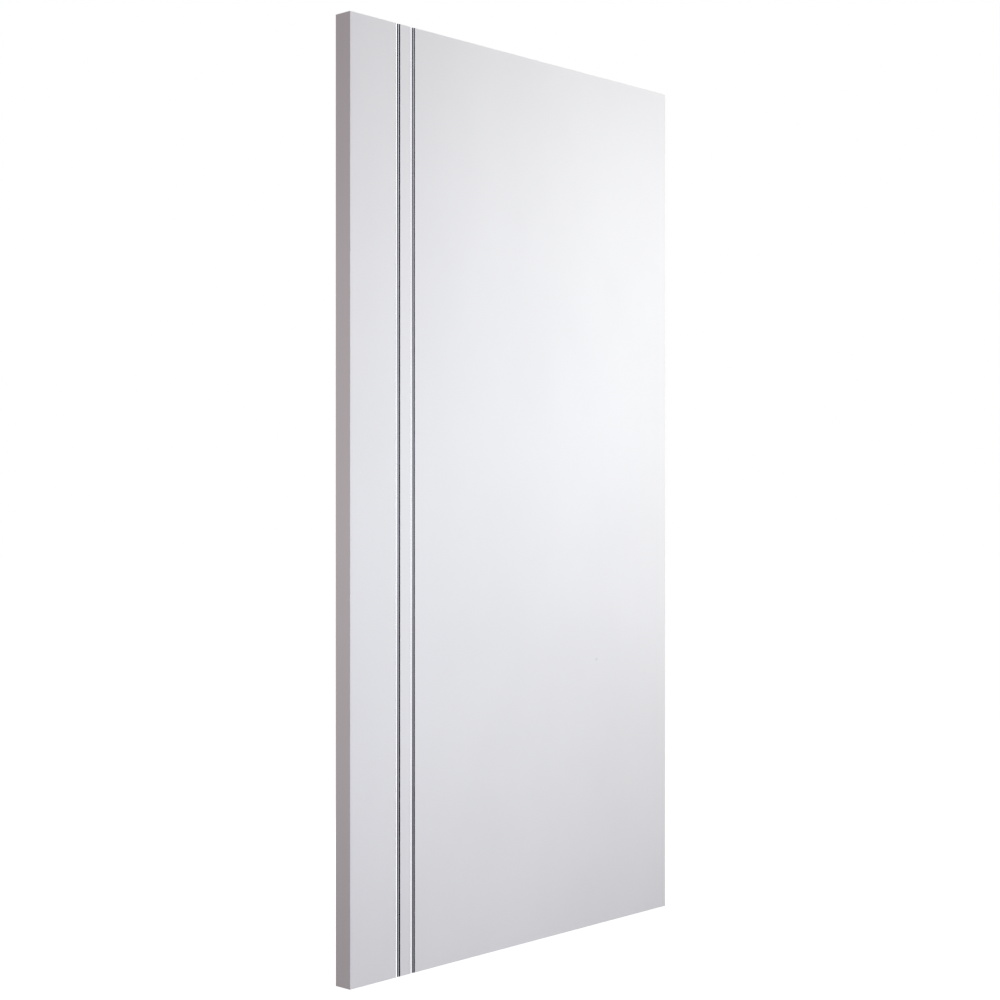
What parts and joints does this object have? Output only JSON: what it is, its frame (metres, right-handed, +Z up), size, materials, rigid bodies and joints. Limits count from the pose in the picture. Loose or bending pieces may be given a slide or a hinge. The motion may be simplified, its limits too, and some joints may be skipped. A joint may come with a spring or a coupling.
{
  "type": "interior door leaf",
  "caption": "Flush solid-core interior door leaf with smooth white painted faces and two full-height hollow-faced metal inlay lines close to one long edge.",
  "frame": {"origin": "bottom end of the hinge edge's flat face, at mid-thickness of the leaf", "axes": "+Z up the leaf, +X across its width from the hinge edge to the lock edge, -Y out of the front face"},
  "size_m": [1.0668, 0.0444, 2.032],
  "materials": {
    "face_paint": "satin",
    "edge_paint": "satin",
    "frame_timber": "matte",
    "core_board": "matte",
    "inlay_metal": "satin"
  },
  "bodies": {
    "root": {"front_skin": "face_paint", "back_skin": "face_paint", "hinge_edge_lipping": "edge_paint", "lock_edge_lipping": "edge_paint", "hinge_stile": "frame_timber", "lock_stile": "frame_timber", "top_rail": "frame_timber", "bottom_rail": "frame_timber", "solid_core": "core_board", "front_inlay_outer": "inlay_metal", "front_inlay_inner": "inlay_metal", "back_inlay_outer": "inlay_metal", "back_inlay_inner": "inlay_metal"}
  },
  "joints": []
}
